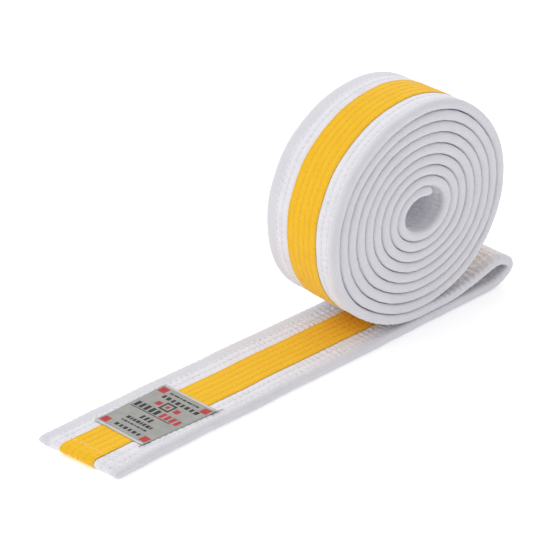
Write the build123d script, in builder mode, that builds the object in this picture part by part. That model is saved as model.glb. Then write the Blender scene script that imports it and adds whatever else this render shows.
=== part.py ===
"""Martial arts belt, rolled up with its free end folded back flat under the roll.

The strap follows one planar route in XZ, made of tangent arcs and lines, and is WIDTH wide along Y.
Depth in the strap is counted from its back (0, towards the middle of the roll and on the floor)
to its front (THICK, with the coloured ribbon). Origin: on the floor, at the middle of the length
and of the width of the whole rolled belt.
"""
import os
from math import cos, degrees, radians, sin

from build123d import *

os.makedirs("parts", exist_ok=True)

# Strap: a cloth sleeve pressed thinner between its two plump edges
WIDTH = 45.0
THICK = 5.0
EDGE_R = 1.8
PRESS = 0.30
PRESS_HALF = 18.9
FRONT = THICK - PRESS
CLOTH = 0.60
SIDE_CLOTH = 1.0
END_CLOTH = 1.2
PLIES = ("back", "middle", "front")
PLY_GAP = 0.03

# Roll: a four-arc oval spiral, every turn one pitch outside the last
PITCH = 5.20
FLAT_R = 11.75
SIDE_R = 5.60
ROLL_X = 63.8
ROLL_ARCS = 34
INNER_END_ANGLE = 62.0
ROLL_LIFT = 0.40

# Free end: level from under the roll, up a slope, round a teardrop fold, back along the floor
LEVEL_RUN = 15.5
LIFT_R = 70.0
LIFT_ANGLE = 14.0
CREST_R = 15.5
CREST_ANGLE = 49.0
NOSE_R = 5.7
NOSE_ANGLE = 110.0
RETURN_R = 28.0
TIP_X = -128.6
TIP_SKEW = 8.0

# Ribbon, with its end turned under the tip
RIBBON_LOW = -10.95
RIBBON_HIGH = 7.95
RIBBON = PRESS
RIBBON_TURN = 14.0

# Stitching: lengthwise rows, and one seam across each end
THREAD_W = 0.45
THREAD = 0.13
ROW_INSET = 0.8
RIBBON_ROWS = 6
WHITE_ROWS = (-18.2, -14.6, 11.6, 15.2)
ROW_START = 8.0
ROW_TIP = 9.0
SEAM_TIP = 7.0
SEAM_START = 6.0
SEAM_HALF = 18.0

# Woven label, its seams along the two short ends and its dark tacks
LABEL_X = -81.1
LABEL_Y = -0.8
LABEL_L = 41.0
LABEL_W = 31.0
LABEL_T = 0.45
LABEL_LIFT = THICK + THREAD + 0.02
LABEL_TURN = -2.0
LABEL_SEAM_INSET = 1.0
TACK_L = 7.5
TACK_W = 0.6
TACK_OUT = 0.6


def arc_radius(k):
    """Back-face radius of the spiral's arc k; arcs run top, left, bottom, right."""
    base = FLAT_R if k % 2 == 0 else SIDE_R
    return base + PITCH * k / 4


def across(angle):
    """Unit vector at an angle in degrees."""
    return Vector(cos(radians(angle)), sin(radians(angle)))


def belt_route():
    """Segments of the strap's back face: ("line", point, heading, length) or
    ("arc", centre, radius, start angle, signed sweep)."""
    last_r = arc_radius(ROLL_ARCS)
    bottom = Vector(ROLL_X, 2 * THICK + ROLL_LIFT + last_r)
    centre = bottom
    for k in (1, 0):
        centre = centre - across(135 + 90 * k) * (arc_radius(k) - arc_radius(k + 1))
    route = []
    for k in range(ROLL_ARCS + 1):
        start = 45 + 90 * k
        sweep = 90.0
        if k == 0:
            start = INNER_END_ANGLE
            sweep = 135 - INNER_END_ANGLE
        if k == ROLL_ARCS:
            sweep = 45.0
        route.append(("arc", centre, arc_radius(k), start % 360, sweep))
        centre = centre + across(start + sweep) * (arc_radius(k) - arc_radius(k + 1))

    point = bottom - Vector(0, last_r)
    heading = 0.0
    turns = (
        (CREST_R, CREST_ANGLE),
        (NOSE_R, NOSE_ANGLE),
        (RETURN_R, 180 + LIFT_ANGLE - CREST_ANGLE - NOSE_ANGLE),
    )
    fall = 0.0
    angle = LIFT_ANGLE
    for radius, turn in turns:
        fall += radius * (cos(radians(angle - turn)) - cos(radians(angle)))
        angle -= turn
    slope_top = -fall
    lift_top = point.Y + LIFT_R * (1 - cos(radians(LIFT_ANGLE)))
    slope = (slope_top - lift_top) / sin(radians(LIFT_ANGLE))

    route.append(("line", point, heading, LEVEL_RUN))
    point = point + across(heading) * LEVEL_RUN
    centre = point + across(heading + 90) * LIFT_R
    route.append(("arc", centre, LIFT_R, heading - 90, LIFT_ANGLE))
    heading += LIFT_ANGLE
    point = centre + across(heading - 90) * LIFT_R
    route.append(("line", point, heading, slope))
    point = point + across(heading) * slope
    for radius, turn in turns:
        centre = point + across(heading - 90) * radius
        route.append(("arc", centre, radius, heading + 90, -turn))
        heading -= turn
        point = centre + across(heading + 90) * radius
    route.append(("line", point, heading, point.X - TIP_X))
    return route


ROUTE = belt_route()


def trimmed(skip_start, skip_end):
    """The route with a length taken off its first arc and off its last line."""
    route = list(ROUTE)
    kind, centre, radius, start, sweep = route[0]
    cut = degrees(skip_start / radius)
    route[0] = (kind, centre, radius, start + cut, sweep - cut)
    kind, point, heading, length = route[-1]
    route[-1] = (kind, point, heading, length - skip_end)
    return route


def depth_line(route, depth):
    """The route's edges at one depth in the strap."""
    edges = []
    for segment in route:
        if segment[0] == "line":
            start = segment[1] + across(segment[2] - 90) * depth
            end = start + across(segment[2]) * segment[3]
            edges.append(Line(start, end, mode=Mode.PRIVATE))
        else:
            _, centre, radius, start, sweep = segment
            offset = depth if sweep > 0 else -depth
            edges.append(CenterArc(centre, radius + offset, start, sweep, mode=Mode.PRIVATE))
    return edges


def strip(depths, low_y, high_y, skip_start=0.0, skip_end=0.0):
    """A solid that follows the route between two depths and two distances across."""
    route = trimmed(skip_start, skip_end)
    with BuildPart() as piece:
        with BuildSketch(Plane.XZ.offset(-high_y)):
            with BuildLine():
                back = depth_line(route, depths[0])
                front = depth_line(route, depths[1])
                for edge in back + front:
                    add(edge)
                Line(back[0] @ 0, front[0] @ 0)
                Line(back[-1] @ 1, front[-1] @ 1)
            make_face()
        extrude(amount=high_y - low_y)
    return piece.part


def beyond_tip(inset):
    """The space past the slanting tip, from a line set back by an inset."""
    far = TIP_X + inset
    near = far + TIP_SKEW
    with BuildPart() as space:
        with BuildSketch():
            with BuildLine():
                Polyline(
                    (far, WIDTH / 2),
                    (near, -WIDTH / 2),
                    (near, -WIDTH),
                    (far - WIDTH, -WIDTH),
                    (far - WIDTH, WIDTH / 2),
                    close=True,
                )
            make_face()
        extrude(amount=3 * THICK, both=True)
    return space.part


def block(foot, length, width, height):
    """A block along X that stands on its foot point."""
    with BuildPart() as piece:
        with BuildSketch(Plane(origin=foot)):
            Rectangle(length, width)
        extrude(amount=height)
    return piece.part


def slanted_x(y, inset):
    """Where a line parallel to the tip lies at a distance across."""
    return TIP_X + inset + TIP_SKEW * (0.5 - y / WIDTH)


# Cloth sleeve, closed at both ends, hollow for the core
core_depths = (PRESS + CLOTH, FRONT - CLOTH)
core_half = WIDTH / 2 - SIDE_CLOTH
hollow = strip(core_depths, -core_half, core_half, skip_start=END_CLOTH)
hollow = hollow - beyond_tip(RIBBON + END_CLOTH)
with BuildPart() as cotton_cover:
    add(strip((0, THICK), -WIDTH / 2, WIDTH / 2))
    rims = [e for e in cotton_cover.edges() if abs(abs(e.center().Y) - WIDTH / 2) < EDGE_R / 100]
    fillet(rims, EDGE_R)
    add(beyond_tip(RIBBON), mode=Mode.SUBTRACT)
    for depths in ((-PRESS, PRESS), (FRONT, THICK + PRESS / 2)):
        add(strip(depths, -PRESS_HALF, PRESS_HALF), mode=Mode.SUBTRACT)
    add(hollow, mode=Mode.SUBTRACT)
cotton_cover.part.label = "cotton_cover"
export_step(cotton_cover.part, "parts/cotton_cover.step")

# Core plies, loose inside the sleeve
ply = (core_depths[1] - core_depths[0] - (len(PLIES) + 1) * PLY_GAP) / len(PLIES)
for index, side in enumerate(PLIES):
    low = core_depths[0] + PLY_GAP + index * (ply + PLY_GAP)
    ply_half = core_half - PLY_GAP
    with BuildPart() as core_ply:
        add(strip((low, low + ply), -ply_half, ply_half, skip_start=END_CLOTH + PLY_GAP))
        add(beyond_tip(RIBBON + END_CLOTH + PLY_GAP), mode=Mode.SUBTRACT)
    core_ply.part.label = f"core_ply_{side}"
    export_step(core_ply.part, f"parts/core_ply_{side}.step")

# Ribbon along the front, over the tip and a little way along the back
ribbon_mid = (RIBBON_LOW + RIBBON_HIGH) / 2
ribbon_w = RIBBON_HIGH - RIBBON_LOW
turn_l = TIP_SKEW + RIBBON_TURN
turn_x = TIP_X + turn_l / 2
filling = block((turn_x, ribbon_mid, RIBBON), 2 * turn_l, WIDTH, FRONT - RIBBON)
turned = block((turn_x, ribbon_mid, 0), turn_l, ribbon_w, THICK)
turned = turned - beyond_tip(0) - (filling - beyond_tip(RIBBON))
with BuildPart() as ribbon:
    add(strip((FRONT, THICK), RIBBON_LOW, RIBBON_HIGH))
    add(beyond_tip(0), mode=Mode.SUBTRACT)
    add(turned)
ribbon.part.label = "coloured_ribbon"
export_step(ribbon.part, "parts/coloured_ribbon.step")

# Lengthwise rows: a needle thread on the front and a bobbin thread on the back of each
row_step = (ribbon_w - 2 * ROW_INSET) / (RIBBON_ROWS - 1)
ribbon_rows = [RIBBON_LOW + ROW_INSET + i * row_step for i in range(RIBBON_ROWS)]
rows = sorted([(y, FRONT) for y in WHITE_ROWS] + [(y, THICK) for y in ribbon_rows])
for number, (y, surface) in enumerate(rows, start=1):
    skip_end = slanted_x(y, ROW_TIP) - TIP_X
    skip_back = turn_l + ROW_INSET if surface == THICK else skip_end
    threads = (
        ("needle_thread", (surface, surface + THREAD), skip_end),
        ("bobbin_thread", (PRESS - THREAD, PRESS), skip_back),
    )
    for kind, depths, skip in threads:
        with BuildPart() as thread:
            add(strip(depths, y - THREAD_W / 2, y + THREAD_W / 2, ROW_START, skip))
        thread.part.label = f"row_{number:02d}_{kind}"
        export_step(thread.part, f"parts/row_{number:02d}_{kind}.step")


def cross_seam(plane, stretch):
    """A thread across the front on a plane of depth over distance across.

    It climbs over the ribbon between the two white bands.
    """
    low = (RIBBON_LOW - THREAD) * stretch
    high = (RIBBON_HIGH + THREAD) * stretch
    with BuildPart() as seam:
        with BuildSketch(plane):
            with BuildLine():
                Polyline(
                    (-SEAM_HALF, FRONT),
                    (low, FRONT),
                    (low, THICK),
                    (high, THICK),
                    (high, FRONT),
                    (SEAM_HALF, FRONT),
                    (SEAM_HALF, FRONT + THREAD),
                    (high + THREAD, FRONT + THREAD),
                    (high + THREAD, THICK + THREAD),
                    (low - THREAD, THICK + THREAD),
                    (low - THREAD, FRONT + THREAD),
                    (-SEAM_HALF, FRONT + THREAD),
                    close=True,
                )
            make_face()
        extrude(amount=THREAD_W / 2, both=True)
    return seam.part


# Seam that closes the sleeve at the tip, parallel to the tip
tip_line = Vector(-TIP_SKEW, WIDTH, 0).normalized()
tip_plane = Plane(
    origin=(slanted_x(0, SEAM_TIP), 0, 0),
    x_dir=tip_line,
    z_dir=(tip_line.Y, -tip_line.X, 0),
)
with BuildPart() as tip_seam:
    add(cross_seam(tip_plane, 1 / tip_line.Y))
tip_seam.part.label = "tip_seam"
export_step(tip_seam.part, "parts/tip_seam.step")

# The same seam at the belt's other end, in the middle of the roll
_, eye_centre, eye_r, eye_start, _ = ROUTE[0]
seam_angle = eye_start + degrees(SEAM_START / eye_r)
seam_foot = eye_centre + across(seam_angle) * eye_r
inner_plane = Plane(
    origin=(seam_foot.X, 0, seam_foot.Y),
    x_dir=(0, 1, 0),
    z_dir=(sin(radians(seam_angle)), 0, -cos(radians(seam_angle))),
)
with BuildPart() as inner_seam:
    add(cross_seam(inner_plane, 1.0))
inner_seam.part.label = "inner_end_seam"
export_step(inner_seam.part, "parts/inner_end_seam.step")


def on_label(height, length, width, thickness, along=0.0, sideways=0.0):
    """A flat bar on the label's own turned axes, resting on a height."""
    x_dir = Vector(1, 0, 0).rotate(Axis.Z, LABEL_TURN)
    with BuildPart() as piece:
        with BuildSketch(Plane(origin=(LABEL_X, LABEL_Y, height), x_dir=x_dir)):
            with Locations((along, sideways)):
                Rectangle(length, width)
        extrude(amount=thickness)
    return piece.part


# Woven label over the ribbon, near the tip
with BuildPart() as label:
    add(on_label(LABEL_LIFT, LABEL_L, LABEL_W, LABEL_T))
    fillet(label.edges().filter_by(Axis.Z), LABEL_T)
label.part.label = "woven_label"
export_step(label.part, "parts/woven_label.step")

# Thread along each short end of the label, and a dark tack beside each corner on one side
label_ends = (("tip_side", -1), ("roll_side", 1))
for side, sign in label_ends:
    along = sign * (LABEL_L / 2 - LABEL_SEAM_INSET)
    seam_w = LABEL_W - 2 * LABEL_SEAM_INSET
    with BuildPart() as label_seam:
        add(on_label(LABEL_LIFT + LABEL_T, THREAD_W, seam_w, THREAD, along))
    label_seam.part.label = f"label_seam_{side}"
    export_step(label_seam.part, f"parts/label_seam_{side}.step")

    along = sign * (LABEL_L - TACK_L) / 2
    sideways = -LABEL_W / 2 - TACK_OUT
    with BuildPart() as tack:
        add(on_label(FRONT, TACK_L, TACK_W, PRESS, along, sideways))
    tack.part.label = f"label_tack_{side}"
    export_step(tack.part, f"parts/label_tack_{side}.step")
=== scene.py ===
"""A rolled martial arts belt: a quilted cotton strap with a coloured ribbon sewn along its front.

The strap's cloth, ribbon, stitches and label are bent along the same route as the CAD strap.
Lengths are in millimetres until a point is placed. Along the belt they count from the inner end,
in the middle of the roll, to the tip. Distances across it count from its middle to the far side.
Depths count from the middle of its thickness to its front.
"""

from bisect import bisect_right
from math import cos, hypot, pi, radians, sin, sqrt

import bmesh
import bpy
from mathutils import Matrix, Vector, noise


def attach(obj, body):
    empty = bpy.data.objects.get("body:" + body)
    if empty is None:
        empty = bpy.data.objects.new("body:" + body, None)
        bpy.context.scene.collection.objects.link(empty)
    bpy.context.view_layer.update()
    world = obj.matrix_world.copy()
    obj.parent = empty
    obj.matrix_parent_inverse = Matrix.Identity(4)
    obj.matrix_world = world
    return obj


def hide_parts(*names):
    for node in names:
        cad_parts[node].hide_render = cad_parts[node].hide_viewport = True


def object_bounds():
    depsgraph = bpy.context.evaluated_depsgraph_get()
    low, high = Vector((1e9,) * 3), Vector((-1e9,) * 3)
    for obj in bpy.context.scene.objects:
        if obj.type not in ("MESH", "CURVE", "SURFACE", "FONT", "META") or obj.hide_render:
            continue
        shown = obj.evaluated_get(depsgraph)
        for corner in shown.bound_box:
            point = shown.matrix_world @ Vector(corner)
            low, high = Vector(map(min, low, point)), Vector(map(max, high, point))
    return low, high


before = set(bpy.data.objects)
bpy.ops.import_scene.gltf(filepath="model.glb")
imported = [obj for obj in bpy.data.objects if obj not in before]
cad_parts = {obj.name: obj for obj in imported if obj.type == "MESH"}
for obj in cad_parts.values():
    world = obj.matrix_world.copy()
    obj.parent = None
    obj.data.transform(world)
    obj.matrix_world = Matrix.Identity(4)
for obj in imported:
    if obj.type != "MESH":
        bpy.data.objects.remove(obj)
cad_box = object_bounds()

MM = 0.001

# The strap's route, as in the CAD model but for a tip 0.3 mm shorter, which leaves the ribbon room
WIDTH = 45.0
THICK = 5.0
PITCH = 5.20
FLAT_R = 11.75
SIDE_R = 5.60
ROLL_X = 63.8
ROLL_ARCS = 34
ROLL_LIFT = 0.40
INNER_END_ANGLE = 62.0
LEVEL_RUN = 15.5
LIFT_R = 70.0
LIFT_ANGLE = 14.0
FOLD = ((15.5, 49.0), (5.7, 110.0), (28.0, 35.0))
TIP_X = -128.3

# The tip is cut askew, the ribbon strays to the far side there, and the near corner is pressed thin
TIP_SKEW = 8.0
TIP_LEAD = 75.0
STRAY = 2.6
TIP_DROOP = 1.2
DROOP_RUN = 16.0
DROOP_Y = 9.0
DROOP_WIDTH = 12.0

# Hand rolling: each sideways drift (how far, over what length, noise offset), and the wobble
DRIFTS = ((0.55, 46, 3.1), (0.35, 15, 7.7), (0.14, 4.5, 5.2))
WOBBLE = 0.9
WOBBLE_SIZE = 34
WOBBLE_LOW = 30
WOBBLE_EASE = 120
WOBBLE_PAST_FOLD = 20

# Ribbon and rows of stitches, by their distance across
RIBBON_LOW = -10.95
RIBBON_HIGH = 7.95
RIBBON_INSET = 0.8
RIBBON_STEP = 3.46
WHITE_ROWS = (-18.2, -14.6, 11.6, 15.2)
RIBBON_ROWS = [RIBBON_LOW + RIBBON_INSET + k * RIBBON_STEP for k in range(6)]
ROWS = sorted(list(WHITE_ROWS) + RIBBON_ROWS)
ROW_STEP = 3.5

# Depths of the sleeve's cloth, and of the ribbon on it
FACE = 2.26
PLUMP = 0.14
PLUMP_WIDTH = 1.8
VALLEY = 0.07
VALLEY_WIDTH = 0.6
RIBBON_BED = 0.30
RIBBON_FACE = 2.47
RIBBON_PLUMP = 0.05
RIBBON_ROUND = 0.15
RIBBON_EDGE = 0.18
RIBBON_TURN = 22.0
TIP_SLACK = 0.45

# The strap's plump rims and ends
RIM_Y = 20.2
RIM_R = WIDTH / 2 - RIM_Y
RIM_RISE = THICK / 2 - RIM_R
RIM_SQUARE = 0.75
RIM_START = 18.6
RIM_BLEND = 1.6
END_NOSE = 2.5

# Small waves that the stitches draw across the strap
PUCKER = 3.4
PUCKER_FRONT = 0.15
PUCKER_BACK = 0.62
PUCKER_LEAST = 0.05
PUCKER_FREE = 4
PUCKER_IN = 8
PUCKER_OUT = 6
PUCKER_PATCH = 9
PUCKER_SWAY = 14

# Spacing of the points along and across, and what one ring may turn where it isn't seen
RING = 0.8
RING_TURN = 9.0
RIBBON_RING_TURN = 7.5
SLEEVE_SPACING = 1.45
RIBBON_SPACING = 1.1

# Interlining plies
PLY_HALF = 21.0
PLY_END = 1.5
PLY_THICK = 1.05
PLY_GAP = 0.03
PLY_LOW = -1.6
PLY_NOSE = 0.2
PLY_RING = 1.7

# Cloth: the twill's ribs are 0.7 mm apart, drawn coarser so that they show
TWILL = 1.2
# painted shade laid on the cloth's rims, past the last rows
RIM_PAINTED_SHADE = 0.12

# A wave texture's scale, times the pitch of its waves
WAVE_SCALE = 2 * pi / 20

# Sewing
STITCH = 3.0
LABEL_STITCH = 2.5
STAGGER = 0.5
THREAD_R = 0.14
ROW_START = 8.0
ROW_TIP = 9.0
SEAM_TIP = 7.0
SEAM_START = 6.0
SEAM_HALF = 18.0
SEAM_SINK = 0.10
SEAM_STEPS = 60

# Woven label
LABEL_X = -81.5
LABEL_Y = -0.8
LABEL_L = 41.0
LABEL_W = 31.0
LABEL_CELL = 0.5
LABEL_TURN = radians(-0.8)
LABEL_SKEW = 0.10
LABEL_FLARE = 0.10
LABEL_DEPTH = 2.74
LABEL_STEP = 0.16
LABEL_RIPPLE = 0.07
LABEL_CURL = 0.8
LABEL_HEM = 1.0
LABEL_BACKING = 0.3
TACK_HALF = 3.5
TACK_OUT = 0.6

# Studio
KEY_STRENGTH = 0.64
KEY_SPREAD = radians(50)
KEY_FROM = (-0.70, 0.25, 0.80)
SKY = 0.655
SKY_MOST = 1.04
SKY_SLOPE = 0.58
SKY_FROM = (0.50, 0.58, 0.64)
FLOOR_GLOW = 0.25
FLOOR_HALF = 6.0
FLOOR_GAP = 0.0002
CAMERA_AT = (-509.21, -564.61, 474.14)
CAMERA_BACK = (-0.57687408, -0.65167206, 0.49248332)
CAMERA_ROLL = radians(-0.839)


def unit(value):
    """A value held between 0 and 1."""
    return max(0.0, min(1.0, value))


# ---- The strap's route ----


def across(angle):
    """Unit vector in the belt's upright plane at an angle in degrees."""
    return Vector((cos(radians(angle)), sin(radians(angle))))


def roll_radius(k):
    """Middle radius of the roll's arc k; arcs run top, left, bottom, right."""
    return (FLAT_R if k % 2 == 0 else SIDE_R) + PITCH * k / 4 + THICK / 2


def slope_length(bottom):
    """Length of the slope that brings the fold down onto the floor."""
    fall = 0.0
    angle = LIFT_ANGLE
    for radius, turn in FOLD:
        fall += (radius - THICK / 2) * (cos(radians(angle)) - cos(radians(angle - turn)))
        angle -= turn
    lift = (LIFT_R + THICK / 2) * (1 - cos(radians(LIFT_ANGLE)))
    return (THICK / 2 + fall - bottom.y - lift) / sin(radians(LIFT_ANGLE))


def belt_pieces():
    """(length at its start, length, start point, heading, turn) of each arc and straight."""
    bottom = Vector((ROLL_X, 2 * THICK + ROLL_LIFT - THICK / 2))
    centre = bottom + Vector((0, roll_radius(ROLL_ARCS)))
    for k in (1, 0):
        centre -= across(135 + 90 * k) * (roll_radius(k) - roll_radius(k + 1))
    point = centre + across(INNER_END_ANGLE) * roll_radius(0)

    # (radius, turn in degrees) of an arc, or (None, length) of a straight
    turns = [(roll_radius(0), 135 - INNER_END_ANGLE)]
    turns += [(roll_radius(k), 90.0) for k in range(1, ROLL_ARCS)]
    turns += [(roll_radius(ROLL_ARCS), 45.0), (None, LEVEL_RUN)]
    turns += [(LIFT_R + THICK / 2, LIFT_ANGLE), (None, slope_length(bottom))]
    turns += [(radius - THICK / 2, -turn) for radius, turn in FOLD]

    pieces = []
    start = 0.0
    heading = INNER_END_ANGLE + 90
    for radius, amount in turns:
        if radius is None:
            length = amount
            pieces.append((start, length, point, heading, 0.0))
            point = point + across(heading) * length
        else:
            length = radius * abs(radians(amount))
            side = radius if amount > 0 else -radius
            pieces.append((start, length, point, heading, amount))
            centre = point + across(heading + 90) * side
            heading += amount
            point = centre - across(heading + 90) * side
        start += length
    pieces.append((start, point.x - TIP_X, point, heading, 0.0))
    return pieces


PIECES = belt_pieces()
STARTS = [piece[0] for piece in PIECES]
LENGTH = PIECES[-1][0] + PIECES[-1][1]
ROLL_END = PIECES[ROLL_ARCS + 1][0]
NOSE_START = PIECES[-3][0]
FLOOR_START = PIECES[-1][0]
FLOOR_X = PIECES[-1][2].x

# The cloth is seen in the roll's eye and from the outermost turn on
EYE_STOP = 60
OUTER_TURN = ROLL_END - 370.0
LAST_BEND = ROLL_END - 40


def piece_at(length):
    """The arc or straight of the route that a length falls on."""
    return PIECES[max(bisect_right(STARTS, length) - 1, 0)]


def along_belt(length):
    """The middle of the strap's thickness at a length, and its heading in degrees."""
    start, total, point, heading, turn = piece_at(length)
    if turn == 0:
        return point + across(heading) * (length - start), heading
    side = total / radians(turn)
    now = heading + turn * (length - start) / total
    return point + (across(heading + 90) - across(now + 90)) * side, now


def strap_point(length, y, depth):
    """A point of the strap in metres."""
    point, heading = along_belt(length)
    lead = unit((length - LENGTH + TIP_LEAD) / TIP_LEAD)
    point = point - across(heading) * (lead * TIP_SKEW * (0.5 - y / WIDTH))
    point = point + across(heading - 90) * depth
    y += STRAY * lead * lead * (3 - 2 * lead) * max(0.0, 1 - (y / RIM_Y) ** 2)
    drift = sum(far * noise.noise((length / run, at, 0.0)) for far, run, at in DRIFTS)
    ease = unit((FLOOR_START + WOBBLE_PAST_FOLD - length) / WOBBLE_EASE)
    wobble_x = noise.noise((point.x / WOBBLE_SIZE, point.y / WOBBLE_SIZE, 1.5))
    wobble_z = noise.noise((point.x / WOBBLE_SIZE, point.y / WOBBLE_SIZE, 9.5))
    x = point.x + WOBBLE * ease * wobble_x
    z = point.y + WOBBLE * ease * wobble_z * min(1.0, point.y / WOBBLE_LOW)
    return Vector((x, y + drift, z)) * MM


def belt_lengths(start, stop, fine, coarse_angle):
    """Lengths at which the strap gets a ring of points: fine wherever the cloth is seen."""
    lengths = [start]
    while lengths[-1] < stop - 1e-6:
        here = lengths[-1]
        step = fine if here > LAST_BEND else fine * 2
        if EYE_STOP <= here <= OUTER_TURN:
            _, length, _, _, turn = piece_at(here)
            step = length / (abs(turn) / coarse_angle)
        lengths.append(min(here + step, stop))
    return lengths


# ---- The strap's section ----


def pucker(length, y, front):
    """Height of the small waves that the stitches draw across the strap."""
    if length < LAST_BEND:
        return 0.0
    deep = PUCKER_FRONT
    if not front:
        into = (length - ROLL_END - PUCKER_FREE) / PUCKER_IN
        out_of = (NOSE_START - length) / PUCKER_OUT
        deep = PUCKER_LEAST + PUCKER_BACK * unit(min(into, out_of))
    deep *= 0.9 + 0.7 * noise.noise((length / PUCKER_PATCH, y / PUCKER_PATCH, 2.0))
    sway = 0.5 * noise.noise((length / PUCKER_SWAY, y / PUCKER_PATCH, 6.0))
    return deep * cos(2 * pi * (length / PUCKER + sway))


def droop(length, y, depth):
    """How far a point in the front half sinks where the tip's near corner is pressed thin."""
    corner = unit(1 - (LENGTH - length) / DROOP_RUN) * unit((-y - DROOP_Y) / DROOP_WIDTH)
    return TIP_DROOP * corner * max(0.0, depth) / (THICK / 2)


def valley(y, rows):
    """1 on a row of stitches, falling to 0 beside it."""
    return max(0.0, 1 - min(abs(y - row) for row in rows) / VALLEY_WIDTH) ** 1.5


def pillow(y, rows):
    """How plump the padding is: 0 on a row of stitches, rising to 1 between two."""
    return min(1.0, min(abs(y - row) for row in rows) / PLUMP_WIDTH) ** 0.6


def cover_depth(y, front):
    """Height of the cloth over the strap's middle, between its two plump rims."""
    height = FACE + PLUMP * pillow(y, ROWS) - VALLEY * valley(y, ROWS)
    if front:
        edge = min(y - RIBBON_LOW, RIBBON_HIGH - y)
        height -= RIBBON_BED * unit(edge / 0.5 + 0.5)
    rim = unit((abs(y) - RIM_START) / RIM_BLEND)
    return height + (THICK / 2 - height) * rim


def ribbon_depth(y):
    """Height of the ribbon's face over the strap's middle."""
    return RIBBON_FACE + RIBBON_PLUMP * pillow(y, RIBBON_ROWS)


def front_surface(y):
    """What a seam lies on: the ribbon where there is one, else the sleeve."""
    if RIBBON_LOW < y < RIBBON_HIGH:
        return ribbon_depth(y)
    return cover_depth(y, True)


def spread(rows, low, high, between):
    """Distances across: on each row, beside it, and between the rows."""
    marks = {low, high}
    for row in rows:
        marks.update((row - 0.5, row, row + 0.5))
    ordered = sorted(m for m in marks if low <= m <= high)
    filled = []
    for a, b in zip(ordered, ordered[1:]):
        parts = max(1, round((b - a) / between))
        filled += [a + (b - a) * k / parts for k in range(parts)]
    return filled + [ordered[-1]]


def row_number(y, rows):
    """The row a point is at, counted from 0, with halves between rows and past the last ones."""
    if y <= rows[0]:
        return -min(0.5, (rows[0] - y) / ROW_STEP)
    for k, (a, b) in enumerate(zip(rows, rows[1:])):
        if y <= b:
            return k + (y - a) / (b - a)
    return len(rows) - 1 + min(0.5, (y - rows[-1]) / ROW_STEP)


def cover_section():
    """The sleeve's section, round once: (y, depth, row)."""
    flat = spread(ROWS, -RIM_Y, RIM_Y, SLEEVE_SPACING)
    corners = [pi / 2 * k / 4 for k in range(1, 5)]
    rim = [
        (RIM_Y + RIM_R * sin(a) ** RIM_SQUARE, RIM_RISE + RIM_R * max(0.0, cos(a)) ** RIM_SQUARE)
        for a in corners
    ]
    past = len(ROWS) - 0.5
    section = [(y, cover_depth(y, True), row_number(y, ROWS)) for y in flat]
    section += [(y, depth, past) for y, depth in rim]
    section += [(y, -depth, past) for y, depth in reversed(rim)]
    section += [(y, -cover_depth(y, False), row_number(y, ROWS)) for y in reversed(flat)]
    section += [(-y, -depth, -0.5) for y, depth in rim]
    section += [(-y, depth, -0.5) for y, depth in reversed(rim)]
    return section + section[:1]


def ribbon_section():
    """The ribbon's section, round once: (y, depth, row)."""
    rows = RIBBON_ROWS
    flat = spread(rows, RIBBON_LOW + RIBBON_ROUND, RIBBON_HIGH - RIBBON_ROUND, RIBBON_SPACING)
    top = [(y, ribbon_depth(y), row_number(y, rows)) for y in flat]
    under = [(y, cover_depth(y, True) + 0.02, row_number(y, rows)) for y in reversed(flat)]
    low = (RIBBON_LOW, ribbon_depth(RIBBON_LOW) - RIBBON_EDGE, -0.5)
    high = (RIBBON_HIGH, ribbon_depth(RIBBON_HIGH) - RIBBON_EDGE, len(rows) - 0.5)
    section = top + [high] + under + [low]
    return section + section[:1]


def ply_section(low):
    """A ply's section, round once, from its lower face up: (y, depth, row)."""
    sides = [PLY_HALF * (k / 6 - 1) for k in range(13)]
    section = [(y, low + PLY_THICK, 0) for y in sides] + [(y, low, 0) for y in reversed(sides)]
    return section + section[:1]


# ---- Bending cloth and thread ----


def end_taper(length, start, stop, reach):
    """1 along the strap, falling to 0 in a round nose at each end."""
    left = min(length - start, stop - length, reach) / reach
    return sqrt(max(0.0, 1 - (1 - left) ** 2))


def with_ends(lengths, reach):
    """Adds the rings that a round nose needs at both ends."""
    start, stop = lengths[0], lengths[-1]
    nose = [reach * (1 - cos(pi / 2 * k / 5)) for k in range(6)]
    middle = [s for s in lengths if start + reach * 1.05 < s < stop - reach * 1.05]
    return [start + n for n in nose] + middle + [stop - n for n in reversed(nose)]


def around(section):
    """Distance round a section at each of its points."""
    total = [0.0]
    for a, b in zip(section, section[1:]):
        total.append(total[-1] + hypot(b[0] - a[0], b[1] - a[1]))
    return total


def grid_piece(name, rows, columns, place, mapping, material):
    """A bmesh grid bent into a piece. place(i, j) gives points, and mapping(i, j) its UV maps."""
    bm = bmesh.new()
    bmesh.ops.create_grid(bm, x_segments=rows - 1, y_segments=columns - 1, size=0.5)
    index = {}
    for vert in bm.verts:
        i = round((vert.co.x + 0.5) * (rows - 1))
        j = round((vert.co.y + 0.5) * (columns - 1))
        index[vert] = (i, j)
        vert.co = place(i, j)
    layers = [bm.loops.layers.uv.new(uv_name) for uv_name in mapping(0, 0)]
    uvs = {vert: list(mapping(*index[vert]).values()) for vert in bm.verts}
    for face in bm.faces:
        face.smooth = True
        for loop in face.loops:
            for layer, uv in zip(layers, uvs[loop.vert]):
                loop[layer].uv = uv
    bmesh.ops.remove_doubles(bm, verts=bm.verts, dist=1e-6)
    bmesh.ops.dissolve_degenerate(bm, dist=1e-7, edges=bm.edges)
    bmesh.ops.recalc_face_normals(bm, faces=bm.faces)
    mesh = bpy.data.meshes.new(name)
    bm.to_mesh(mesh)
    bm.free()
    piece = bpy.data.objects.new(name, mesh)
    bpy.context.scene.collection.objects.link(piece)
    mesh.materials.append(material)
    return piece


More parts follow.
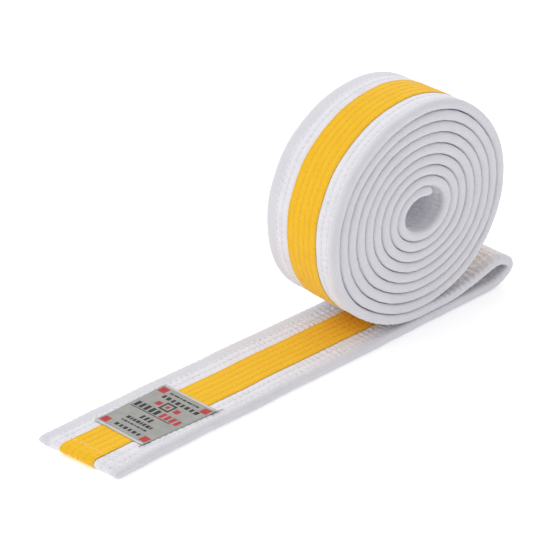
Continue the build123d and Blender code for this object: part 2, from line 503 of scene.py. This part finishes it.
def strip_maps(lengths, section):
    """UV maps of a strip: "cloth" in metres, and "sewing" in stitches along and rows across."""
    girth = around(section)

    def mapping(i, j):
        cloth = (lengths[i] * MM, girth[j] * MM)
        return {"cloth": cloth, "sewing": (lengths[i] / STITCH, section[j][2])}

    return mapping


def bent_piece(name, lengths, section, reach, material):
    """A closed strip of cloth with one section all along, nosed over at its ends."""
    lengths = with_ends(lengths, reach)

    def place(i, j):
        y, depth, _ = section[j]
        taper = end_taper(lengths[i], lengths[0], lengths[-1], reach)
        under_ribbon = depth > 0 and RIBBON_LOW - 1 < y < RIBBON_HIGH + 1
        wave = 0.0 if under_ribbon else pucker(lengths[i], y, depth > 0)
        wave *= max(-1.0, min(1.0, depth / 2))
        depth -= droop(lengths[i], y, depth)
        return strap_point(lengths[i], y, (depth + wave) * taper)

    maps = strip_maps(lengths, section)
    return grid_piece(name, len(lengths), len(section), place, maps, material)


def ribbon_point(length, y, depth):
    """A point of the ribbon, which turns under the tip and lies flat along the back."""
    bend = LENGTH - THICK / 2
    past = length - bend
    if past <= 0:
        return strap_point(length, y, depth)
    turn = past / (THICK / 2)
    if turn < pi:
        return strap_point(bend + (depth + TIP_SLACK) * sin(turn), y, depth * cos(turn))
    return strap_point(bend - (past - pi * THICK / 2), y, -depth)


def make_ribbon(material):
    """The ribbon, from the inner end along the front and round the tip."""
    bend = LENGTH - THICK / 2
    round_tip = [bend + THICK / 2 * pi * k / 8 for k in range(1, 9)]
    lengths = belt_lengths(0.4, bend, RING, RIBBON_RING_TURN) + round_tip
    lengths += [round_tip[-1] + RIBBON_TURN * k / 12 for k in range(1, 13)]
    section = ribbon_section()

    def place(i, j):
        y, depth, _ = section[j]
        if i in (0, len(lengths) - 1):
            depth = ribbon_depth(y) - 0.15
        return ribbon_point(lengths[i], y, depth)

    maps = strip_maps(lengths, section)
    return grid_piece("coloured_ribbon_cloth", len(lengths), len(section), place, maps, material)


def thread_piece(name, path, material):
    """A thread: a tube of five sides along points, each (centre, sideways, upwards)."""
    sides = [2 * pi * k / 5 for k in range(6)]

    def place(i, j):
        centre, sideways, upwards = path[i]
        swell = 0.0 if i in (0, len(path) - 1) else THREAD_R * MM
        return centre + (sideways * cos(sides[j]) + upwards * sin(sides[j])) * swell

    def mapping(i, j):
        return {"cloth": (i / 4, j / 5)}

    return grid_piece(name, len(path), len(sides), place, mapping, material)


def stitched(phase, surface):
    """Depth of a thread that arches over each stitch and dives in at each needle hole."""
    arch = abs(cos(pi * phase)) ** 0.5
    return surface - 0.01 + 0.20 * (arch - 0.75)


def row_path(y, row, start, stop, surface, side):
    """A lengthwise row's thread, on the front (side 1) or on the back (side -1)."""
    path = []
    for length in belt_lengths(start, stop, STITCH / 5, RING_TURN):
        depth = side * stitched(length / STITCH + STAGGER * row, surface)
        depth -= droop(length, y, depth)
        here = strap_point(length, y, depth)
        up = (strap_point(length, y, depth + side) - here).normalized()
        path.append((here, Vector((0, 1, 0)), up))
    return path


def seam_path(length):
    """The thread of a seam that runs across the strap's front."""
    path = []
    for k in range(SEAM_STEPS + 1):
        y = SEAM_HALF * (2 * k / SEAM_STEPS - 1)
        depth = stitched(y / STITCH, front_surface(y)) - SEAM_SINK
        depth -= droop(length, y, depth)
        here = strap_point(length, y, depth)
        up = (strap_point(length, y, depth + 1) - here).normalized()
        along = (strap_point(length + 1, y, depth) - here).normalized()
        path.append((here, along, up))
    return path


# ---- The woven label ----

GROUND, RED, DARK, PALE = range(4)


def dashes(along, height, low, high, widths, material, gap=0.5):
    """A line of plain blocks across the label, cycling through a few widths."""
    blocks = []
    k = 0
    while low + widths[k % len(widths)] <= high:
        width = widths[k % len(widths)]
        blocks.append((along, low + width / 2, height, width, material))
        low += width + gap
        k += 1
    return blocks


# (along, sideways, length, width, material): plain blocks and lines where a label has its print
LABEL_MOTIF = [(sign * (LABEL_L / 2 - 0.5), 0, 1.0, LABEL_W, PALE) for sign in (-1, 1)]
LABEL_MOTIF += [(x, y, 4.0, 4.0, RED) for x in (-16.5, 16.5) for y in (-12.5, 12.5)]
LABEL_MOTIF += dashes(16.5, 1.0, -8.5, 8.5, (2.0, 1.0, 3.0), DARK)
LABEL_MOTIF += dashes(13.0, 2.5, -12.0, 10.0, (2.0, 1.5), DARK, 1.0)
LABEL_MOTIF += [(7.5, 0.5, size, size, slot) for size, slot in ((6, DARK), (4, GROUND), (2, RED))]
LABEL_MOTIF += [(7.5, 0.5 + side * 5.5, 3.0, 3.0, RED) for side in (-1, 1)]
LABEL_MOTIF += dashes(1.5, 4.0, -0.5, 13.5, (2.0,), DARK, 1.0)
LABEL_MOTIF += dashes(1.5, 4.0, -13.0, -1.5, (2.0,), RED, 1.0)
LABEL_MOTIF += [(-1.5, 2.0, 0.5, 24.0, DARK)]
LABEL_MOTIF += dashes(-5.0, 3.0, -3.5, 5.0, (1.5,), DARK, 1.0)
LABEL_MOTIF += dashes(-9.0, 1.5, -8.0, 9.0, (1.0, 2.0, 1.5), DARK)
LABEL_MOTIF += dashes(-12.0, 1.5, -8.0, 9.0, (2.0, 1.0), DARK)
LABEL_MOTIF += dashes(-16.0, 2.5, -8.5, 8.5, (1.5, 2.0), DARK, 1.0)


def label_point(along, sideways, lift=0.0):
    """A point on top of the label, by its place on the label."""
    x = LABEL_X + along - LABEL_SKEW * sideways
    side = LABEL_Y + along * LABEL_TURN + sideways * (1 + LABEL_FLARE * along / LABEL_L)

    # the place on the strap is found in steps, so that the skewed tip doesn't bend the label
    length = FLOOR_START + FLOOR_X - x
    y = side
    for _ in range(4):
        reached = strap_point(length, y, 0) / MM
        length += reached.x - x
        y += side - reached.y

    step = unit(min(y - RIBBON_LOW, RIBBON_HIGH - y) / 1.6 + 1)
    depth = LABEL_DEPTH + LABEL_STEP * step
    depth += LABEL_RIPPLE * noise.noise((along / 6, sideways / 6, 4.0))
    corner = max(0.0, abs(along) / (LABEL_L / 2) + abs(sideways) / (LABEL_W / 2) - 1.6)
    return strap_point(length, y, depth + LABEL_CURL * corner + lift)


def make_label(materials):
    """The label: a satin weave of small cells, each cell in the colour that its motif needs."""
    rows = round(LABEL_L / LABEL_CELL) + 1
    columns = round(LABEL_W / LABEL_CELL) + 1

    def at(i, j):
        return i * LABEL_CELL - LABEL_L / 2, j * LABEL_CELL - LABEL_W / 2

    def place(i, j):
        return label_point(*at(i, j))

    def mapping(i, j):
        along, sideways = at(i, j)
        return {"cloth": (along * MM, sideways * MM)}

    piece = grid_piece("woven_label_cloth", rows, columns, place, mapping, materials[0])
    for material in materials[1:]:
        piece.data.materials.append(material)
    cloth = piece.data.uv_layers["cloth"].data
    for face in piece.data.polygons:
        corners = [cloth[k].uv for k in face.loop_indices]
        along = sum(c.x for c in corners) / len(corners) / MM
        sideways = sum(c.y for c in corners) / len(corners) / MM
        for x, y, length, width, slot in LABEL_MOTIF:
            if abs(along - x) < length / 2 and abs(sideways - y) < width / 2:
                face.material_index = slot
    backing = piece.modifiers.new("backing", "SOLIDIFY")
    backing.thickness = LABEL_BACKING * MM
    backing.offset = -1
    return piece


def line_path(start, stop, count):
    """The thread of a straight line of stitches between two places on the label."""
    path = []
    ahead = (stop[0] - start[0], stop[1] - start[1])
    for k in range(count + 1):
        t = k / count
        along = start[0] + ahead[0] * t
        sideways = start[1] + ahead[1] * t
        lift = stitched(hypot(*ahead) * t / LABEL_STITCH, 0.0)
        here = label_point(along, sideways, lift)
        up = (label_point(along, sideways, lift + 1) - here).normalized()
        beside = label_point(along - ahead[1] * 0.02, sideways + ahead[0] * 0.02, lift)
        path.append((here, (beside - here).normalized(), up))
    return path


# ---- Materials ----


def linear(hex_colour, dim=1.0):
    """An sRGB hex colour, dimmed if asked, as the linear RGBA that Blender works in."""
    values = [int(hex_colour[k : k + 2], 16) / 255 for k in (0, 2, 4)]
    lit = [v / 12.92 if v <= 0.04045 else ((v + 0.055) / 1.055) ** 2.4 for v in values]
    return [dim * v for v in lit] + [1.0]


def add_node(tree, kind, inputs, output=0, **settings):
    """Adds a node with its settings; inputs are values or other nodes' outputs, by socket."""
    node = tree.nodes.new("ShaderNode" + kind)
    for name, value in settings.items():
        setattr(node, name, value)
    for socket, value in inputs.items():
        if isinstance(value, bpy.types.NodeSocket):
            tree.links.new(value, node.inputs[socket])
        else:
            node.inputs[socket].default_value = value
    return node.outputs[output]


def new_material(name):
    """A node material; returns it, its tree and its shader."""
    material = bpy.data.materials.new(name)
    material.use_nodes = True
    tree = material.node_tree
    return material, tree, tree.nodes["Principled BSDF"]


def finish_surface(tree, shader, colour, height, bump_mm, **values):
    """Links colour and bump to the shader, and sets its plain values."""
    tree.links.new(colour, shader.inputs["Base Color"])
    bump = add_node(tree, "Bump", {"Height": height, "Distance": bump_mm * MM, "Strength": 1.0})
    tree.links.new(bump, shader.inputs["Normal"])
    for name, value in values.items():
        shader.inputs[name.replace("_", " ")].default_value = value


def weave_height(tree, cloth, pitch_mm):
    """Height of a twill weave, 0 to 1: slanting ribs, broken up by the threads that cross them."""
    heights = []
    for turn, pitch in ((62, pitch_mm), (0, pitch_mm * 0.62)):
        turned = add_node(tree, "Mapping", {"Vector": cloth, "Rotation": (0, 0, radians(turn))})
        wave = {"Vector": turned, "Scale": WAVE_SCALE / (pitch * MM)}
        wave |= {"Distortion": 2.2, "Detail": 2.0, "Detail Scale": 1.5}
        heights.append(add_node(tree, "TexWave", wave, 1))
    ribs = add_node(tree, "Math", {0: heights[0], 1: 0.65}, operation="MULTIPLY")
    return add_node(tree, "Math", {0: heights[1], 1: 0.35, 2: ribs}, operation="MULTIPLY_ADD")


def quilted_cotton(name, light, shade, rib_height, hole_shade, half_rows):
    """Cotton twill quilted by rows of lockstitches.

    The eye sees a fine slanting weave, a needle dimple at every stitch, soft ribs across the
    strap where each stitch gathers the cloth, and faint uneven shade.
    """
    material, tree, shader = new_material(name)
    cloth = add_node(tree, "UVMap", {}, uv_map="cloth")
    sewing = add_node(tree, "UVMap", {}, uv_map="sewing")
    stitch = add_node(tree, "SeparateXYZ", {0: sewing})
    row = add_node(tree, "SeparateXYZ", {0: sewing}, 1)

    # how far from the nearest row, and from the nearest needle hole on it
    nearest = add_node(tree, "Math", {0: row}, operation="ROUND")
    off_row = add_node(tree, "Math", {0: row, 1: nearest}, operation="SUBTRACT")
    phase = add_node(tree, "Math", {0: nearest, 1: STAGGER, 2: stitch}, operation="MULTIPLY_ADD")
    part = add_node(tree, "Math", {0: phase}, operation="FRACT")
    off_hole = add_node(tree, "Math", {0: part, 1: 0.5}, operation="SUBTRACT")
    place = add_node(tree, "CombineXYZ", {0: off_hole, 1: off_row})
    to_mm = (STITCH, RIBBON_STEP, 1)
    scaled = add_node(tree, "VectorMath", {0: place, 1: to_mm}, operation="MULTIPLY")
    hole_mm = add_node(tree, "VectorMath", {0: scaled}, 1, operation="LENGTH")
    hole = add_node(
        tree, "MapRange",
        {"Value": hole_mm, "From Min": 0.12, "From Max": 0.85, "To Min": 1, "To Max": 0},
        interpolation_type="SMOOTHSTEP",
    )
    beside = add_node(tree, "Math", {0: off_row}, operation="ABSOLUTE")
    channel = add_node(
        tree, "MapRange",
        {"Value": beside, "From Min": 0.02, "From Max": 0.22, "To Min": 1, "To Max": 0},
        interpolation_type="SMOOTHSTEP",
    )

    # how far from the middle row: past the last rows, the rims are calmer and get a little painted
    # shade
    middle = add_node(tree, "Math", {0: row, 1: half_rows}, operation="SUBTRACT")
    aside = add_node(tree, "Math", {0: middle}, operation="ABSOLUTE")
    past = {"Value": aside, "From Min": half_rows + 0.2, "From Max": half_rows + 0.45}
    calm = add_node(tree, "MapRange", past | {"To Min": 1, "To Max": 0.25})
    past = {"Value": aside, "From Min": half_rows + 0.12, "From Max": half_rows + 0.4}
    edge = add_node(tree, "MapRange", past | {"To Min": 0, "To Max": RIM_PAINTED_SHADE})

    # ribs across the strap, one to a stitch, wandering and fading
    wander = add_node(tree, "TexNoise", {"Vector": cloth, "Scale": 1 / (9 * MM), "Detail": 1.0})
    swayed = add_node(tree, "Math", {0: wander, 1: 1.5, 2: stitch}, operation="MULTIPLY_ADD")
    turn = add_node(tree, "Math", {0: swayed, 1: 2 * pi}, operation="MULTIPLY")
    wave = add_node(tree, "Math", {0: turn}, operation="COSINE")
    fade = add_node(tree, "TexNoise", {"Vector": cloth, "Scale": 1 / (17 * MM), "Detail": 1.0})
    strength = add_node(
        tree, "MapRange",
        {"Value": fade, "From Min": 0.35, "From Max": 0.65, "To Min": 0.25, "To Max": 1},
    )
    rib = add_node(tree, "Math", {0: wave, 1: strength}, operation="MULTIPLY")
    rib = add_node(tree, "Math", {0: rib, 1: calm}, operation="MULTIPLY")

    # the weave, its slubs, and lengthwise streaks of thicker and thinner yarn
    weave = weave_height(tree, cloth, TWILL)
    soft = add_node(tree, "Math", {0: calm, 1: 0.6, 2: 0.4}, operation="MULTIPLY_ADD")
    weave = add_node(tree, "Math", {0: weave, 1: soft}, operation="MULTIPLY")
    slub = add_node(tree, "TexNoise", {"Vector": cloth, "Scale": 1 / (1.6 * MM), "Detail": 3.0})
    drawn = add_node(tree, "Mapping", {"Vector": cloth, "Scale": (0.06, 1, 1)})
    streak = add_node(tree, "TexNoise", {"Vector": drawn, "Scale": 1 / (0.7 * MM), "Detail": 2.0})

    # heights in millimetres
    height = add_node(tree, "Math", {0: rib, 1: rib_height}, operation="MULTIPLY")
    for relief, share in ((weave, 0.06), (slub, 0.16), (streak, 0.08), (hole, -0.16)):
        height = add_node(tree, "Math", {0: relief, 1: share, 2: height}, operation="MULTIPLY_ADD")

    # uneven shade of the yarn
    patch = add_node(tree, "TexNoise", {"Vector": cloth, "Scale": 1 / (11 * MM), "Detail": 3.0})
    patch = add_node(tree, "Math", {0: streak, 1: 0.8, 2: patch}, operation="MULTIPLY_ADD")
    patch = add_node(tree, "Math", {0: patch, 1: 0.4}, operation="SUBTRACT", use_clamp=True)
    tones = {6: linear(light), 7: linear(shade)}
    ground = add_node(tree, "Mix", {0: patch} | tones, 2, data_type="RGBA")

    # painted shade: the colour is darkened in the needle holes, along the rows, in the weave's
    # hollows and on the rims
    painted_shade = add_node(tree, "Math", {0: hole, 1: hole_shade}, operation="MULTIPLY")
    painted_shade = add_node(tree, "Math", {0: channel, 1: 0.03, 2: painted_shade}, operation="MULTIPLY_ADD")
    painted_shade = add_node(tree, "Math", {0: weave, 1: -0.08, 2: painted_shade}, operation="MULTIPLY_ADD")
    painted_shade = add_node(tree, "Math", {0: painted_shade, 1: edge}, operation="ADD")
    painted_shade = add_node(tree, "Math", {0: painted_shade, 1: 0.08}, operation="ADD", use_clamp=True)
    colour = add_node(
        tree, "Mix", {0: painted_shade, 6: ground, 7: (0.10, 0.10, 0.11, 1.0)}, 2,
        data_type="RGBA", blend_type="MULTIPLY",
    )
    finish_surface(
        tree, shader, colour, height, 1.0,
        Roughness=0.92, Specular_IOR_Level=0.18, Sheen_Weight=0.12, Sheen_Roughness=0.45,
    )
    return material


def spun_thread(name, hex_colour):
    """Spun polyester sewing thread: a fine twist along it, shown partly as painted shade in its
    grooves, and a slight gloss.
    """
    material, tree, shader = new_material(name)
    along = add_node(tree, "UVMap", {}, uv_map="cloth")
    wave = {"Vector": along, "Scale": 1.3}
    twist = add_node(tree, "TexWave", wave, 1, bands_direction="DIAGONAL")
    # painted shade: the twist's grooves take a dimmed copy of the thread's colour
    tones = {6: linear(hex_colour, 0.8), 7: linear(hex_colour)}
    colour = add_node(tree, "Mix", {0: twist} | tones, 2, data_type="RGBA")
    finish_surface(
        tree, shader, colour, twist, 0.03, Roughness=0.55, Specular_IOR_Level=0.3, Sheen_Weight=0.1
    )
    return material


def label_satin(name, hex_colour):
    """Damask-woven polyester label: fine ribs both ways, with a painted highlight on each thread
    and painted shade between the threads.
    """
    material, tree, shader = new_material(name)
    cloth = add_node(tree, "UVMap", {}, uv_map="cloth")
    wave = {"Vector": cloth, "Scale": WAVE_SCALE / (LABEL_CELL * MM), "Distortion": 0.3}
    waves = [add_node(tree, "TexWave", wave, 1, bands_direction=way) for way in "XY"]
    weave = add_node(tree, "Math", {0: waves[0], 1: waves[1]}, operation="MULTIPLY")
    patch = add_node(tree, "TexNoise", {"Vector": cloth, "Scale": 1 / (5 * MM), "Detail": 3.0})
    # painted highlight on each thread's crown and painted shade between the threads, over random
    # mottling
    painted_light_and_mottle = add_node(tree, "Math", {0: weave, 1: 0.4, 2: patch}, operation="MULTIPLY_ADD")
    tones = {6: linear(hex_colour, 0.6), 7: linear(hex_colour)}
    colour = add_node(tree, "Mix", {0: painted_light_and_mottle} | tones, 2, data_type="RGBA")
    finish_surface(
        tree, shader, colour, weave, 0.05, Roughness=0.5, Specular_IOR_Level=0.35, Sheen_Weight=0.05
    )
    return material


def felted_cotton(name, hex_colour):
    """Felted cotton interlining: a matt, slightly mottled mat of short fibres."""
    material, tree, shader = new_material(name)
    place = add_node(tree, "UVMap", {}, uv_map="cloth")
    fibres = add_node(tree, "TexNoise", {"Vector": place, "Scale": 1 / (0.8 * MM), "Detail": 6.0})
    tones = {6: linear(hex_colour, 0.75), 7: linear(hex_colour)}
    colour = add_node(tree, "Mix", {0: fibres} | tones, 2, data_type="RGBA")
    finish_surface(
        tree, shader, colour, fibres, 0.2, Roughness=0.95, Specular_IOR_Level=0.1, Sheen_Weight=0.2
    )
    return material


white_cotton = quilted_cotton("white cotton twill", "f3f2f7", "e9e8f0", 0.24, 0.08, 4.5)
yellow_cotton = quilted_cotton("yellow cotton twill", "ffcb30", "f8bd22", 0.08, 0.05, 2.5)
white_thread = spun_thread("white spun polyester thread", "f2f2f6")
yellow_thread = spun_thread("yellow spun polyester thread", "ffd04a")
dark_thread = spun_thread("dark spun polyester thread", "2b2c36")
label_cloths = [
    label_satin("grey damask label weave", "aeaeaa"),
    label_satin("red damask label weave", "c8323c"),
    label_satin("dark damask label weave", "26262c"),
    label_satin("pale damask label weave", "dddcd8"),
]
interlining = felted_cotton("felted cotton interlining", "d9d6cf")


# ---- Making the pieces ----


def sew(name, path, material, node):
    """Makes a thread, and hides the CAD thread it stands for."""
    thread = thread_piece(name, path, material)
    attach(thread, "root")
    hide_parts(node)


# The sleeve and what is sewn on it
cover_rings = belt_lengths(0.0, LENGTH, RING, RING_TURN)
cover = bent_piece("cotton_cover_cloth", cover_rings, cover_section(), END_NOSE, white_cotton)
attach(cover, "root")
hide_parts("cotton_cover")

ribbon = make_ribbon(yellow_cotton)
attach(ribbon, "root")
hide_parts("coloured_ribbon")

label = make_label(label_cloths)
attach(label, "root")
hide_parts("woven_label")

# Lengthwise rows
for number, y in enumerate(ROWS, start=1):
    on_ribbon = y in RIBBON_ROWS
    surface = ribbon_depth(y) if on_ribbon else cover_depth(y, True)
    back_stop = LENGTH - RIBBON_TURN - 1 if on_ribbon else LENGTH - ROW_TIP
    sew(
        f"row_{number:02d}_needle_stitches",
        row_path(y, number - 1, ROW_START, LENGTH - ROW_TIP, surface, 1),
        yellow_thread if on_ribbon else white_thread,
        f"row_{number:02d}_needle_thread",
    )
    sew(
        f"row_{number:02d}_bobbin_stitches",
        row_path(y, number - 1, ROW_START, back_stop, cover_depth(y, False), -1),
        white_thread, f"row_{number:02d}_bobbin_thread",
    )

# Seams across both ends
for seam, length in (("tip_seam", LENGTH - SEAM_TIP), ("inner_end_seam", SEAM_START)):
    sew(f"{seam}_stitches", seam_path(length), white_thread, seam)

# The label's own stitching, and the dark threads that tack its near side to the strap
for end, side in (("tip_side", -1), ("roll_side", 1)):
    x = side * (LABEL_L / 2 - LABEL_HEM)
    half = LABEL_W / 2 - LABEL_HEM
    near = -LABEL_W / 2 - TACK_OUT
    hem = line_path((x, -half), (x, half), 60)
    tack = line_path((x - TACK_HALF, near), (x + TACK_HALF, near), 24)
    sew(f"label_seam_{end}_stitches", hem, white_thread, f"label_seam_{end}")
    sew(f"label_tack_{end}_stitches", tack, dark_thread, f"label_tack_{end}")

# Felted plies that fill the sleeve
for number, ply in enumerate(("back", "middle", "front")):
    section = ply_section(PLY_LOW + number * (PLY_THICK + PLY_GAP))
    rings = belt_lengths(PLY_END, LENGTH - PLY_END, PLY_RING, RING_TURN)
    felt = bent_piece(f"core_ply_{ply}_felt", rings, section, PLY_NOSE, interlining)
    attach(felt, "root")
    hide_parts(f"core_ply_{ply}")


# ---- The studio ----


def make_floor():
    """A plain pale floor, wide enough to be all that the camera sees."""
    mesh = bpy.data.meshes.new("pale_floor")
    shape = bmesh.new()
    bmesh.ops.create_grid(shape, x_segments=1, y_segments=1, size=FLOOR_HALF)
    bmesh.ops.translate(shape, vec=(0, 0, cad_box[0].z - FLOOR_GAP), verts=shape.verts)
    shape.to_mesh(mesh)
    shape.free()
    floor = bpy.data.objects.new("pale_floor", mesh)
    bpy.context.scene.collection.objects.link(floor)
    material, _, shader = new_material("pale studio floor")
    shader.inputs["Base Color"].default_value = linear("fdfdfd")
    shader.inputs["Emission Color"].default_value = (1, 1, 1, 1)
    shader.inputs["Emission Strength"].default_value = FLOOR_GLOW
    shader.inputs["Roughness"].default_value = 0.9
    shader.inputs["Specular IOR Level"].default_value = 0.0
    mesh.materials.append(material)


def add_key_light():
    """A wide soft light from above and from the tip's side."""
    lamp = bpy.data.lights.new("key_light", "SUN")
    lamp.energy = KEY_STRENGTH
    lamp.angle = KEY_SPREAD
    light = bpy.data.objects.new("key_light", lamp)
    light.rotation_euler = (-Vector(KEY_FROM)).to_track_quat("-Z", "Y").to_euler()
    bpy.context.scene.collection.objects.link(light)


def light_sky():
    """A studio that is brightest above, behind and to the right, and dimmest in front."""
    world = bpy.data.worlds.new("studio")
    world.use_nodes = True
    sky = world.node_tree
    toward = add_node(sky, "TexCoord", {})
    slope = add_node(sky, "VectorMath", {0: toward, 1: SKY_FROM}, 1, operation="DOT_PRODUCT")
    glow = add_node(sky, "Math", {0: slope, 1: SKY_SLOPE, 2: SKY}, operation="MULTIPLY_ADD")
    level_glow = add_node(sky, "Math", {0: glow, 1: SKY_MOST}, operation="MINIMUM")
    sky.links.new(level_glow, sky.nodes["Background"].inputs["Strength"])
    sky.nodes["Background"].inputs["Color"].default_value = (1, 1, 1, 1)
    bpy.context.scene.world = world
    bpy.context.scene.view_settings.view_transform = "Standard"


def add_camera():
    """The camera, level but for a slight roll."""
    lens = bpy.data.cameras.new("camera")
    lens.lens = 126.0
    lens.sensor_width = 36.0
    camera = bpy.data.objects.new("camera", lens)
    camera.location = Vector(CAMERA_AT) * MM
    back = Vector(CAMERA_BACK)
    level = Vector((0, 0, 1)).cross(back).normalized()
    right = level * cos(CAMERA_ROLL) + back.cross(level) * sin(CAMERA_ROLL)
    axes = Matrix((right, back.cross(right), back)).transposed()
    camera.rotation_mode = "QUATERNION"
    camera.rotation_quaternion = axes.to_quaternion()
    bpy.context.scene.collection.objects.link(camera)
    bpy.context.scene.camera = camera


make_floor()
add_key_light()
light_sky()
add_camera()
